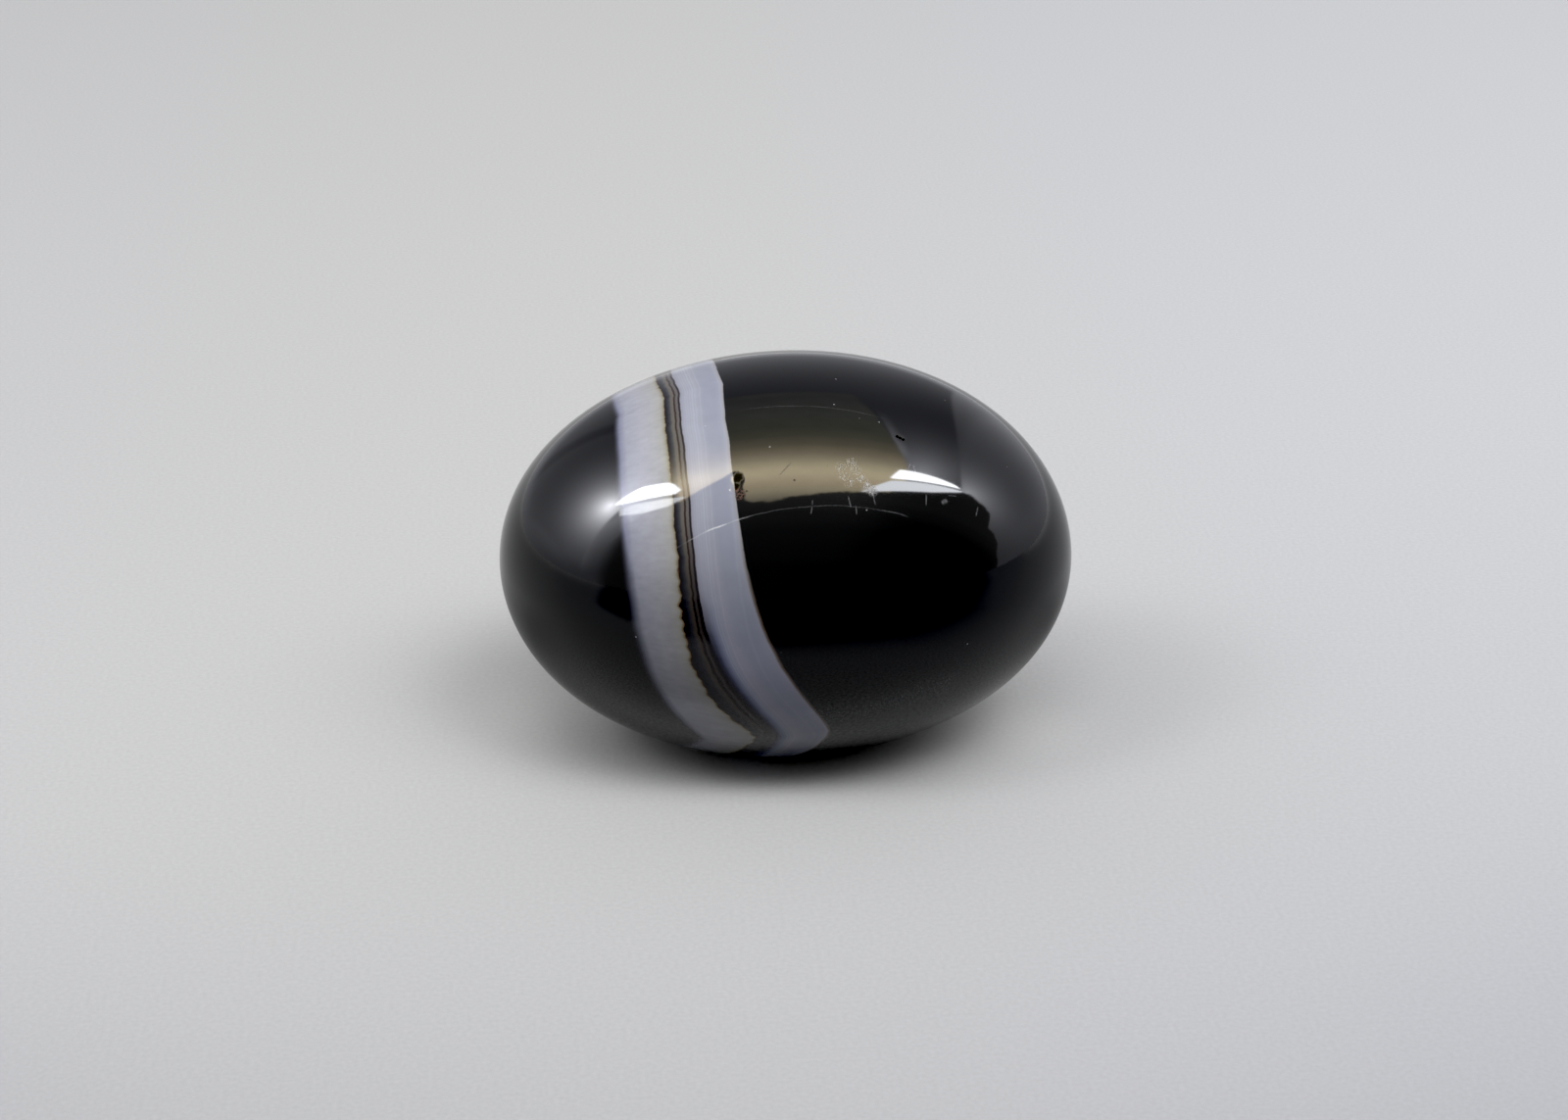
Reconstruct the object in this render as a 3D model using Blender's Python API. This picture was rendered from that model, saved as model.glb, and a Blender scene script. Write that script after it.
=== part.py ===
"""A sulemani agate: one polished, egg-shaped stone that rests on a small flat spot.

Metres, +Z up. X runs along the stone, Y from its front to its back. The origin is in the plane of
the flat spot, under the middle of the stone. The pale bands are colour inside one solid stone, so
nothing is raised for them.
"""
import math

import bmesh
import bpy
import numpy as np

# Driving dimensions
LENGTH = 0.0300  # along X
DEPTH = 0.0218  # along Y
FULL_HEIGHT = 0.0212  # along Z, before the flat spot is ground
REST_CUT = 0.00025  # height ground off below to make the flat spot

# How far hand grinding left the egg from a true ellipsoid, as shares of its radius.
# The swells run round the outline that is seen square to a plane leaning back by LEAN.
LEAN = math.radians(24)
THREE_SIDED = (-0.0008, -0.0029)  # three swells round the outline: cosine and sine parts
FOUR_SIDED = (-0.0034, -0.0030)  # four swells round the outline: cosine and sine parts

# Mesh
SIDES = 88  # round the upright axis
ROWS = 42  # from the rim of the flat spot up to the crown
HALVINGS = 40  # steps in the search for the rim
RIM_ANGLE = math.radians(8)  # sharper than this is an edge, and only the rim of the flat spot is


def stone_point(around, up):
    """The stone's surface: an ellipsoid times a slight swell.

    around turns about the upright axis from +X towards +Y, and up goes from 0 under the stone to pi
    at its crown. The unit direction (x, y, z) times the half sizes gives the ellipsoid. With w the
    complex number x + i (y sin LEAN + z cos LEAN), the swell is 1 plus the three-sided numbers times
    the real and imaginary parts of w cubed, and the four-sided ones times those of its fourth power.
    """
    x = np.sin(up) * np.cos(around)
    y = np.sin(up) * np.sin(around)
    z = -np.cos(up)
    w = x + 1j * (y * math.sin(LEAN) + z * math.cos(LEAN))
    three = THREE_SIDED[0] * (w**3).real + THREE_SIDED[1] * (w**3).imag
    four = FOUR_SIDED[0] * (w**4).real + FOUR_SIDED[1] * (w**4).imag
    swell = 1 + three + four
    half = np.array([LENGTH, DEPTH, FULL_HEIGHT]) / 2
    return np.stack([x, y, z], axis=-1) * half * swell[..., None]


def rim_of_flat_spot(around, floor):
    """The up angle at which the surface reaches the height floor, found by halving the interval."""
    low = np.zeros_like(around)
    high = np.full_like(around, math.pi / 2)
    for _ in range(HALVINGS):
        middle = (low + high) / 2
        under = stone_point(around, middle)[..., 2] < floor
        low = np.where(under, middle, low)
        high = np.where(under, high, middle)
    return high


def stone_rows():
    """Rings of points from the rim of the flat spot to the last ring below the crown, and the crown."""
    around = np.arange(SIDES) * 2 * math.pi / SIDES
    floor = -FULL_HEIGHT / 2 + REST_CUT
    rim = rim_of_flat_spot(around, floor)
    share = (np.arange(ROWS) / ROWS)[:, None]
    rings = stone_point(around[None, :], rim[None, :] * (1 - share) + math.pi * share)
    rings[0, :, 2] = floor
    crown = stone_point(np.zeros(1), np.full(1, math.pi))[0]
    low = rings.min(axis=(0, 1))
    high = rings.max(axis=(0, 1))
    middle = np.array([(low[0] + high[0]) / 2, (low[1] + high[1]) / 2, floor])
    return rings - middle, crown - middle


def ring_faces(bm, lower, upper):
    """One band of four-sided faces between two rings, facing out."""
    for i in range(SIDES):
        j = (i + 1) % SIDES
        bm.faces.new((lower[i], lower[j], upper[j], upper[i]))


def make_stone():
    rings, crown = stone_rows()
    bm = bmesh.new()
    rows = [[bm.verts.new(p) for p in ring] for ring in rings]
    for lower, upper in zip(rows, rows[1:]):
        ring_faces(bm, lower, upper)

    # The crown closes the top with a fan
    top = bm.verts.new(crown)
    for i in range(SIDES):
        bm.faces.new((rows[-1][i], rows[-1][(i + 1) % SIDES], top))

    # The flat spot closes the bottom: a ring half as wide as its rim, and a fan to its middle
    centre = rings[0].mean(axis=0)
    inner = [bm.verts.new((p + centre) / 2) for p in rings[0]]
    ring_faces(bm, inner, rows[0])
    middle = bm.verts.new(centre)
    for i in range(SIDES):
        bm.faces.new((inner[(i + 1) % SIDES], inner[i], middle))

    mesh = bpy.data.meshes.new("agate_stone")
    bm.to_mesh(mesh)
    bm.free()
    mesh.shade_smooth()
    mesh.set_sharp_from_angle(angle=RIM_ANGLE)
    stone = bpy.data.objects.new("agate_stone", mesh)
    bpy.context.scene.collection.objects.link(stone)
    return stone


def black_agate():
    """Black chalcedony under a hand polish."""
    material = bpy.data.materials.new("black_agate")
    material.use_nodes = True
    shader = material.node_tree.nodes["Principled BSDF"]
    shader.inputs["Base Color"].default_value = (0.012, 0.011, 0.012, 1)
    shader.inputs["Roughness"].default_value = 0.06
    shader.inputs["Metallic"].default_value = 0
    shader.inputs["IOR"].default_value = 1.54
    return material


for old in list(bpy.data.objects):
    bpy.data.objects.remove(old)
agate = make_stone()
agate.data.materials.append(black_agate())
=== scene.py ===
"""Looks for a sulemani agate: one polished black stone, crossed by pale bands and a brown seam.

Metres, +Z up, in the same frame as the solid. The stone's surface is a formula, worked out with
numpy on a grid, and its layers are a formula of the place inside the stone, so the bands run round
the back and the underside as they would in the real stone. The surroundings are a light tent: pale
walls, a warm panel overhead between two lamps, and a dark opening in front.
"""
import math

import bpy
import numpy as np
from mathutils import Matrix, Vector


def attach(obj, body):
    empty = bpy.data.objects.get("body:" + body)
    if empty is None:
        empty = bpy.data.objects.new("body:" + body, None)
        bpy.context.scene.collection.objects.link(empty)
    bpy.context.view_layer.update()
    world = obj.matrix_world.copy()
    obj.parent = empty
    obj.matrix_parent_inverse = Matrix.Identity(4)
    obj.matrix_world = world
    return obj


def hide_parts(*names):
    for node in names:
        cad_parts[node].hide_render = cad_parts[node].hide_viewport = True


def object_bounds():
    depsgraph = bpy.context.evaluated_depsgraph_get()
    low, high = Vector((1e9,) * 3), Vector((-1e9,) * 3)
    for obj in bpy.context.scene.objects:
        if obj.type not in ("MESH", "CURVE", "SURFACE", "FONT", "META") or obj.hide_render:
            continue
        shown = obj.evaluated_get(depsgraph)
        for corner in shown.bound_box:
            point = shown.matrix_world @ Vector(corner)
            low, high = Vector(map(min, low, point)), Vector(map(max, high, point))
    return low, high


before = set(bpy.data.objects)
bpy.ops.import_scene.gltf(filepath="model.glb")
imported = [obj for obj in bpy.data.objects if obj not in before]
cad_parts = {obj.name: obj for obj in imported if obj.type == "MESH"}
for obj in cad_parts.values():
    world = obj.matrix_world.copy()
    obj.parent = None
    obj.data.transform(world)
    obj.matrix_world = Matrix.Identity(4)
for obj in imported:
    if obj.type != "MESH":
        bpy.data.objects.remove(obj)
CAD_LOW, CAD_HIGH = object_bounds()

MM = 0.001

# The stone, with the values of its solid
LENGTH = 30.0 * MM  # along X
DEPTH = 21.8 * MM  # along Y
FULL_HEIGHT = 21.2 * MM  # along Z, before the flat spot is ground
REST_CUT = 0.25 * MM  # height ground off below to make the flat spot
LEAN = math.radians(24)
THREE_SIDED = (-0.0008, -0.0029)  # three swells round the outline: cosine and sine parts
FOUR_SIDED = (-0.0034, -0.0030)  # four swells round the outline: cosine and sine parts
HALF = np.array([LENGTH, DEPTH, FULL_HEIGHT]) / 2
FLOOR_Z = -FULL_HEIGHT / 2 + REST_CUT  # height of the flat spot, from the egg's middle
RIM_ROUND = 0.05 * MM  # half the height over which the rim of the flat spot is rounded

# Grid of the stone's mesh
COLUMNS = 436  # round the long axis
ROWS = 222  # from one tip to the other
CROWD_ALONG = 0.14  # how much closer the rows stand at the stone's middle than at its tips
CROWD_ROUND = 0.25  # how much closer the columns stand on the side that CROWD_SIDE names
CROWD_SIDE = math.radians(50)  # the upper front, where the pit and the chip are

# Dents of the real damage: place from the egg's middle, half width and depth, all in mm
DENTS = (
    ((-3.05, -7.47, 7.41), 0.22, 0.014),  # the pit beside the lavender band
    ((-3.16, -7.75, 7.11), 0.14, 0.008),  # the broken ground below it
    ((-3.02, -8.05, 6.83), 0.14, 0.006),
    ((5.15, -5.32, 8.51), 0.11, 0.006),  # the chip on the top right
    ((5.33, -5.37, 8.43), 0.11, 0.006),
)


def egg_point(turn, along):
    """The stone's surface about its own middle, before the flat spot is ground.

    turn goes round the long axis from the front over the top, and along from 0 at the +X tip to pi
    at the -X tip. The unit direction (x, y, z) times the half sizes gives an ellipsoid. With w the
    complex number x + i (y sin LEAN + z cos LEAN), the swell is 1 plus the three-sided numbers
    times the real and imaginary parts of w cubed, plus the four-sided ones times those of its
    fourth power.
    """
    x = np.cos(along) + 0 * turn
    y = -np.sin(along) * np.cos(turn)
    z = np.sin(along) * np.sin(turn)
    w = x + 1j * (y * math.sin(LEAN) + z * math.cos(LEAN))
    three = THREE_SIDED[0] * (w**3).real + THREE_SIDED[1] * (w**3).imag
    four = FOUR_SIDED[0] * (w**4).real + FOUR_SIDED[1] * (w**4).imag
    return np.stack([x, y, z], axis=-1) * HALF * (1 + three + four)[..., None]


def grind_flat(points):
    """Lifts what is below FLOOR_Z up to it, with a rounded rim.

    With h the share (z - floor) / (4 r) + 1/2, held between 0 and 1, the new height is floor plus
    h times (z - floor) plus 2 r h (1 - h): the floor well below it, the egg well above it.
    """
    above = points[..., 2] - FLOOR_Z
    share = np.clip(0.5 + above / (4 * RIM_ROUND), 0, 1)
    ground = points.copy()
    ground[..., 2] = FLOOR_Z + share * above + 2 * RIM_ROUND * share * (1 - share)
    return ground


def press_dents(points):
    """Moves the points near each dent straight in by depth times exp(-(away / half width)^2)."""
    outward = points / HALF**2
    outward /= np.linalg.norm(outward, axis=-1, keepdims=True)
    pressed = points.copy()
    for place, half_width, depth in DENTS:
        away = np.linalg.norm(points - np.array(place) * MM, axis=-1) / (half_width * MM)
        pressed -= outward * (depth * MM * np.exp(-(away**2)))[..., None]
    return pressed


def stone_surface():
    """Rings of points between the two tips, and the tips, about the egg's middle.

    Each ring's turn is an even step less CROWD_ROUND times its sine, counted from CROWD_SIDE, and
    the rings' along is an even step plus CROWD_ALONG times the sine of twice that step.
    """
    step = np.arange(COLUMNS) * 2 * math.pi / COLUMNS
    turn = step - CROWD_ROUND * np.sin(step - CROWD_SIDE)
    even = np.arange(1, ROWS) * math.pi / ROWS
    along = even + CROWD_ALONG * np.sin(2 * even)
    rings = egg_point(turn[None, :], along[:, None])
    tips = egg_point(np.zeros(2), np.array([0, math.pi]))
    rings = press_dents(grind_flat(rings))
    return np.concatenate([rings.reshape(-1, 3), tips])


def grid_faces():
    """Four-sided faces between neighbouring rings, and a fan of triangles to each tip.

    Their corners run against the clock as seen from outside, so all faces look outward.
    """
    row = np.arange(ROWS - 2)[:, None] * COLUMNS
    here = np.arange(COLUMNS)[None, :]
    after = (here + 1) % COLUMNS
    following = row + COLUMNS
    quads = np.stack([row + here, row + after, following + after, following + here], axis=-1)
    right_tip = (ROWS - 1) * COLUMNS
    left_tip = right_tip + 1
    last = (ROWS - 2) * COLUMNS
    here, after = here[0], after[0]
    right_fan = np.stack([np.full(COLUMNS, right_tip), after, here], axis=-1)
    left_fan = np.stack([np.full(COLUMNS, left_tip), last + here, last + after], axis=-1)
    return quads.reshape(-1, 4).tolist() + right_fan.tolist() + left_fan.tolist()


def place_in_box(points):
    """Moves and fits the points to the solid's box. Returns them, and where the middle goes."""
    low, high = points.min(axis=0), points.max(axis=0)
    cad_low, cad_high = np.array(CAD_LOW), np.array(CAD_HIGH)
    scale = (cad_high - cad_low) / (high - low)
    return cad_low + (points - low) * scale, cad_low - low * scale


def make_stone():
    points, middle = place_in_box(stone_surface())
    mesh = bpy.data.meshes.new("banded_egg")
    mesh.from_pydata(points.tolist(), [], grid_faces())
    mesh.validate()
    mesh.shade_smooth()
    stone = bpy.data.objects.new("banded_egg", mesh)
    bpy.context.scene.collection.objects.link(stone)
    return stone, middle


class Wiring:
    """Adds nodes to one tree. A value is a number, a colour, or another node's output."""

    def __init__(self, tree):
        self.tree = tree

    def node(self, kind, **settings):
        made = self.tree.nodes.new(kind)
        for name, value in settings.items():
            setattr(made, name, value)
        return made

    def feed(self, socket, value):
        if isinstance(value, bpy.types.NodeSocket):
            self.tree.links.new(value, socket)
        else:
            socket.default_value = value

    def work(self, operation, *values, clamp=False):
        made = self.node("ShaderNodeMath", operation=operation, use_clamp=clamp)
        for socket, value in zip(made.inputs, values):
            self.feed(socket, value)
        return made.outputs[0]

    def vector(self, operation, *values):
        made = self.node("ShaderNodeVectorMath", operation=operation)
        for socket, value in zip(made.inputs, values):
            self.feed(socket, value)
        number = operation in ("DOT_PRODUCT", "LENGTH", "DISTANCE")
        return made.outputs["Value" if number else "Vector"]

    def axes(self, place):
        """The X, Y and Z of a place."""
        made = self.node("ShaderNodeSeparateXYZ")
        self.feed(made.inputs[0], place)
        return made.outputs

    def total(self, *values):
        result = values[0]
        for value in values[1:]:
            result = self.work("ADD", result, value)
        return result

    def product(self, *values):
        result = values[0]
        for value in values[1:]:
            result = self.work("MULTIPLY", result, value)
        return result

    def rest(self, value):
        """What is left of 1."""
        return self.work("SUBTRACT", 1.0, value)

    def rise(self, value, low, high):
        """0 below low, 1 above high, and smooth in between. With low above high, the other way."""
        made = self.node("ShaderNodeMapRange", interpolation_type="SMOOTHSTEP")
        self.feed(made.inputs["Value"], value)
        self.feed(made.inputs["From Min"], low)
        self.feed(made.inputs["From Max"], high)
        return made.outputs["Result"]

    def fall(self, value, low, high):
        """1 below low, 0 above high, and smooth in between."""
        return self.rest(self.rise(value, low, high))

    def grey(self, value):
        """The colour with this value in its three channels."""
        made = self.node("ShaderNodeCombineColor")
        for socket in made.inputs[:3]:
            self.feed(socket, value)
        return made.outputs[0]

    def blend(self, share, first, second, mode="MIX"):
        """One colour at share 0 and the other at 1."""
        made = self.node("ShaderNodeMix", data_type="RGBA", blend_type=mode)
        self.feed(made.inputs["Factor"], share)
        for socket, value in ((made.inputs[6], first), (made.inputs[7], second)):
            if isinstance(value, tuple) and len(value) == 3:
                value = value + (1,)
            self.feed(socket, value)
        return made.outputs[2]

    def times(self, first, second):
        """One colour times the other, channel by channel."""
        return self.blend(1.0, first, second, "MULTIPLY")

    def ramp(self, value, stops, smooth=False):
        """Colours along value, which runs from the first stop's place to the last one's."""
        first, last = stops[0][0], stops[-1][0]
        share = self.work("DIVIDE", self.work("SUBTRACT", value, first), last - first, clamp=True)
        made = self.node("ShaderNodeValToRGB")
        made.color_ramp.interpolation = "EASE" if smooth else "LINEAR"
        elements = made.color_ramp.elements
        while len(elements) < len(stops):
            elements.new(0.5)
        for element, (place, colour) in zip(elements, stops):
            element.position = (place - first) / (last - first)
            if not isinstance(colour, tuple):
                colour = (colour,) * 3
            element.color = colour + (1,)
        self.feed(made.inputs["Fac"], share)
        return made.outputs["Color"]

    def curve(self, value, points, straight=False):
        """A curve through points, as (value, height): smooth, or of straight pieces."""
        first, last = points[0][0], points[-1][0]
        heights = [height for _, height in points]
        low, high = min(heights), max(heights)
        share = self.work("DIVIDE", self.work("SUBTRACT", value, first), last - first, clamp=True)
        made = self.node("ShaderNodeFloatCurve")
        line = made.mapping.curves[0]
        while len(line.points) < len(points):
            line.points.new(0.5, 0.5)
        for point, (place, height) in zip(line.points, points):
            point.location = ((place - first) / (last - first), (height - low) / (high - low))
            if straight:
                point.handle_type = "VECTOR"
        made.mapping.update()
        self.feed(made.inputs["Value"], share)
        return self.total(self.product(made.outputs["Value"], high - low), low)

    def noise(self, place, scale, detail=2.0, roughness=0.5):
        made = self.node("ShaderNodeTexNoise")
        self.feed(made.inputs["Vector"], place)
        self.feed(made.inputs["Scale"], scale)
        self.feed(made.inputs["Detail"], detail)
        self.feed(made.inputs["Roughness"], roughness)
        return made.outputs["Fac"]

    def unevenness(self, place, scale, detail=2.0, roughness=0.5):
        """Noise about 0, up to a half either way."""
        return self.work("SUBTRACT", self.noise(place, scale, detail, roughness), 0.5)

    def stretched(self, place, scale, turn=(0, 0, 0)):
        made = self.node("ShaderNodeMapping")
        self.feed(made.inputs["Vector"], place)
        self.feed(made.inputs["Scale"], scale)
        self.feed(made.inputs["Rotation"], turn)
        return made.outputs["Vector"]

    def use(self, group, **values):
        made = self.node("ShaderNodeGroup")
        made.node_tree = group
        for name, value in values.items():
            self.feed(made.inputs[name.replace("_", " ")], value)
        return made.outputs


def new_group(name, inputs, output):
    """A node group with named sockets: inputs as {name: default}, with a tuple for a vector."""
    group = bpy.data.node_groups.new(name, "ShaderNodeTree")
    for label, default in inputs.items():
        kind = "NodeSocketVector" if isinstance(default, tuple) else "NodeSocketFloat"
        socket = group.interface.new_socket(label, in_out="INPUT", socket_type=kind)
        socket.default_value = default
    group.interface.new_socket(output, in_out="OUTPUT", socket_type="NodeSocketFloat")
    wiring = Wiring(group)
    given = wiring.node("NodeGroupInput").outputs
    result = wiring.node("NodeGroupOutput").inputs
    return group, wiring, given, result


def layer_group():
    """How far a place lies past one folded sheet of the agate, along X.

    The fold pushes the sheet on by Fold times exp(-(d / width) to the power Power), with d the
    angle from the fold and the width its own on either side.
    """
    inputs = {
        "Along": 0.0, "Round": 0.0, "Fold": 0.0, "Fold at": 0.0,
        "Above": 20.0, "Below": 40.0, "Power": 1.5,
    }
    group, w, given, result = new_group("layer", inputs, "Past")
    off = w.work("SUBTRACT", given["Round"], given["Fold at"])
    upper = w.work("GREATER_THAN", off, 0.0)
    difference = w.work("SUBTRACT", given["Above"], given["Below"])
    width = w.total(given["Below"], w.product(upper, difference))
    share = w.work("POWER", w.work("DIVIDE", w.work("ABSOLUTE", off), width), given["Power"])
    fold = w.product(given["Fold"], w.work("EXPONENT", w.product(share, -1.0)))
    w.feed(result["Past"], w.work("SUBTRACT", given["Along"], fold))
    return group


HAIRLINE_WANDER = 0.06  # mm that a scratch strays from its straight cut
HAIRLINE_GAPS = (0.3, 0.6)  # noise at which a scratch is faint, and at which it is whole
HAIRLINE_LEAST = 0.4  # what is left of it where it is faint


def hairline_group():
    """A thin scratch: where a flat cut through the stone meets its surface, fading from Middle.

    The cut is where Position . Facing is Offset, and the mask ends at Width from it and at Reach
    from Middle.
    """
    inputs = {
        "Position": (0.0, 0.0, 0.0), "Facing": (0.0, 0.0, 1.0), "Offset": 0.0,
        "Middle": (0.0, 0.0, 0.0), "Reach": 1.0, "Width": 0.03,
    }
    group, w, given, result = new_group("hairline", inputs, "Mask")
    wander = w.product(w.unevenness(given["Position"], scale=1.3), HAIRLINE_WANDER)
    cut = w.vector("DOT_PRODUCT", given["Position"], given["Facing"])
    height = w.work("SUBTRACT", cut, given["Offset"])
    off = w.work("ABSOLUTE", w.total(height, wander))
    line = w.fall(off, 0.0, given["Width"])
    away = w.vector("DISTANCE", given["Position"], given["Middle"])
    near = w.fall(away, w.product(given["Reach"], 0.5), given["Reach"])
    whole = w.rise(w.noise(given["Position"], scale=5.0, detail=1.0), *HAIRLINE_GAPS)
    strength = w.total(w.product(whole, 1 - HAIRLINE_LEAST), HAIRLINE_LEAST)
    w.feed(result["Mask"], w.product(line, near, strength))
    return group


def speck_group():
    """Tiny specks: a small disc in the few cells whose random number is above 1 - Share."""
    inputs = {"Position": (0.0, 0.0, 0.0), "Cells": 1.0, "Size": 0.03, "Share": 0.1}
    group, w, given, result = new_group("specks", inputs, "Mask")
    cells = w.node("ShaderNodeTexVoronoi")
    w.feed(cells.inputs["Vector"], given["Position"])
    w.feed(cells.inputs["Scale"], given["Cells"])
    away = w.work("DIVIDE", cells.outputs["Distance"], given["Cells"])
    disc = w.fall(away, w.product(given["Size"], 0.5), given["Size"])
    red = w.node("ShaderNodeSeparateColor")
    w.feed(red.inputs["Color"], cells.outputs["Color"])
    chosen = w.work("GREATER_THAN", red.outputs["Red"], w.rest(given["Share"]))
    w.feed(result["Mask"], w.product(disc, chosen))
    return group


# The four sheets that part the layers, in mm and degrees: place along X, tilt, how far the fold
# pushes them, the turn it is at, its width above and below that, and its power
SHEETS = {
    "white": (-8.90, 0.12, 3.58, -42.0, 23.5, 40.0, 1.24),
    "seam": (-6.42, 0.41, 3.74, -36.5, 17.6, 40.0, 1.32),
    "lavender": (-5.60, 0.44, 3.85, -35.5, 24.0, 40.0, 1.58),
    "black": (-3.45, 0.38, 4.53, -34.0, 30.9, 40.0, 1.52),
}
TILT_AT = 19.0  # degrees below the front at which the sheets' tilt takes them furthest along
CORNER_AT = 81.0  # degrees from the front at which all sheets have a slight corner
CORNER_WIDE = 7.0
CORNER = 0.16  # how far the corner juts out, in mm
SHEET_WAVE = 0.16  # how uneven the sheets are, in mm
RIPPLE = 0.05  # finer unevenness of the lavender band's two edges

# The seam's knobbly start: knobs per mm, how they run together, and how far they jut out, in mm
KNOBS = 2.2
KNOB_SMOOTH = 0.2
KNOB_MIDDLE = 0.4
KNOB_LEAST = 0.07
KNOB_MORE_LOW = 0.22  # added below the middle of the stone
KNOB_FINE = 0.10

# Where the looks of the lower side, with the seam's painted shade, pass into those of the upper
# side, and where the lavender band's painted shade ends, both in degrees of slope above the front
UPPER_LOOKS = (9.0, 37.0)
LAVENDER_SHADE_ENDS = (-5.0, 20.0)


def past_sheets(w, position, sheet_plane):
    """mm past each sheet, and the turn round the long axis: 0 in front, 90 on top, -90 below."""
    x, y, z = w.axes(position)
    up = w.work("DIVIDE", z, FULL_HEIGHT / 2 / MM)
    front = w.work("DIVIDE", y, -DEPTH / 2 / MM)
    turn = w.work("DEGREES", w.work("ARCTAN2", up, front))
    lean = w.work("COSINE", w.work("RADIANS", w.total(turn, TILT_AT)))
    off_corner = w.work("ABSOLUTE", w.work("SUBTRACT", turn, CORNER_AT))
    corner = w.product(w.work("EXPONENT", w.product(off_corner, -1 / CORNER_WIDE)), CORNER)
    wave = w.product(w.unevenness(sheet_plane, scale=0.55, detail=1.0), SHEET_WAVE)
    layer = layer_group()
    past = {}
    for name, (place, tilt, fold, fold_at, above, below, power) in SHEETS.items():
        flat = w.total(w.product(lean, tilt), place, corner, wave)
        past[name] = w.use(
            layer, Along=w.work("SUBTRACT", x, flat), Round=turn, Fold=fold, Fold_at=fold_at,
            Above=above, Below=below, Power=power,
        )["Past"]
    return past, turn


def roughen_edges(w, past, upper, sheet_plane):
    """Makes the seam's start knobbly, most of all below, and ripples the lavender band's edges."""
    knobs = w.node("ShaderNodeTexVoronoi", feature="SMOOTH_F1")
    w.feed(knobs.inputs["Vector"], sheet_plane)
    w.feed(knobs.inputs["Scale"], KNOBS)
    w.feed(knobs.inputs["Smoothness"], KNOB_SMOOTH)
    fine = w.unevenness(sheet_plane, scale=5.0, detail=3.0)
    size = w.total(w.product(w.rest(upper), KNOB_MORE_LOW), KNOB_LEAST)
    knob = w.work("SUBTRACT", KNOB_MIDDLE, knobs.outputs["Distance"])
    knobbly = w.total(w.product(knob, size), w.product(fine, KNOB_FINE))
    past["seam"] = w.total(past["seam"], knobbly)
    ripple = w.product(w.unevenness(sheet_plane, scale=2.5), RIPPLE)
    past["lavender"] = w.total(past["lavender"], ripple)
    past["black"] = w.total(past["black"], ripple)


def between(w, start, end):
    """0 at the first sheet and 1 at the next, from the mm past each."""
    return w.work("DIVIDE", start, w.work("SUBTRACT", start, end), clamp=True)


# Colours across the milky band, from its left edge to the seam
MILKY = (
    (0.00, (0.11, 0.115, 0.18)),
    (0.08, (0.25, 0.26, 0.36)),
    (0.20, (0.385, 0.395, 0.475)),
    (0.50, (0.435, 0.44, 0.50)),
    (0.75, (0.43, 0.432, 0.46)),
    (0.90, (0.415, 0.41, 0.40)),
    (0.97, (0.36, 0.345, 0.28)),
    (1.00, (0.28, 0.25, 0.18)),
)
MILKY_PLAIN = 0.71  # its shade without clouds and fibres
MILKY_CLOUD = 0.30
MILKY_FIBRES = 0.28
FIBRE_RUN = (0.6, 4.0, 4.0)  # the fibres lie along X
# Painted shade and light on it by the turn round the long axis, in degrees: darker just below the
# front, brighter above it
MILKY_PAINTED_SHADE_AND_LIGHT = (
    (-180, 1.0), (-100, 0.95), (-45, 0.95), (-35, 1.0), (-28, 1.06), (-22, 0.93), (-15, 0.82),
    (-5, 0.83), (3, 0.90), (15, 0.95), (24, 1.04), (30, 1.05), (38, 1.05), (46, 1.02), (52, 1.0),
    (180, 1.0),
)


def white_band(w, past, turn, position):
    """The milky band: soft and bluish at the left, cloudy, a little fibrous, yellow at the seam.

    By the turn round the long axis it carries painted shade just below the front and painted light
    above it.
    """
    colour = w.ramp(between(w, past["white"], past["seam"]), MILKY)
    cloud = w.noise(position, scale=0.8, detail=5.0, roughness=0.6)
    fibres = w.noise(w.stretched(position, FIBRE_RUN), scale=1.0, detail=4.0)
    shade = w.total(MILKY_PLAIN, w.product(cloud, MILKY_CLOUD), w.product(fibres, MILKY_FIBRES))
    # painted shade and light by the turn round the long axis
    shade = w.product(shade, w.curve(turn, MILKY_PAINTED_SHADE_AND_LIGHT))
    return w.times(colour, w.grey(shade))


# Colours across the seam, on the stone's upper side
SEAM_ABOVE = (
    (0.00, (0.030, 0.018, 0.014)),
    (0.07, (0.010, 0.008, 0.010)),
    (0.20, (0.022, 0.022, 0.032)),
    (0.34, (0.060, 0.062, 0.070)),
    (0.42, (0.130, 0.118, 0.105)),
    (0.57, (0.150, 0.132, 0.118)),
    (0.61, (0.035, 0.022, 0.018)),
    (0.68, (0.035, 0.022, 0.020)),
    (0.73, (0.130, 0.118, 0.112)),
    (0.85, (0.140, 0.128, 0.128)),
    (0.89, (0.022, 0.016, 0.020)),
    (0.97, (0.022, 0.017, 0.024)),
    (1.00, (0.100, 0.095, 0.120)),
)
# The same layers on its lower side, darkened there as painted shade
SEAM_PAINTED_SHADE_BELOW = (
    (0.00, (0.028, 0.014, 0.009)),
    (0.08, (0.007, 0.006, 0.008)),
    (0.25, (0.016, 0.017, 0.024)),
    (0.38, (0.032, 0.032, 0.036)),
    (0.50, (0.060, 0.050, 0.044)),
    (0.58, (0.055, 0.045, 0.040)),
    (0.62, (0.012, 0.008, 0.007)),
    (0.68, (0.012, 0.008, 0.007)),
    (0.73, (0.048, 0.042, 0.040)),
    (0.81, (0.044, 0.036, 0.036)),
    (0.87, (0.006, 0.004, 0.005)),
    (1.00, (0.008, 0.007, 0.014)),
)


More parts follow.
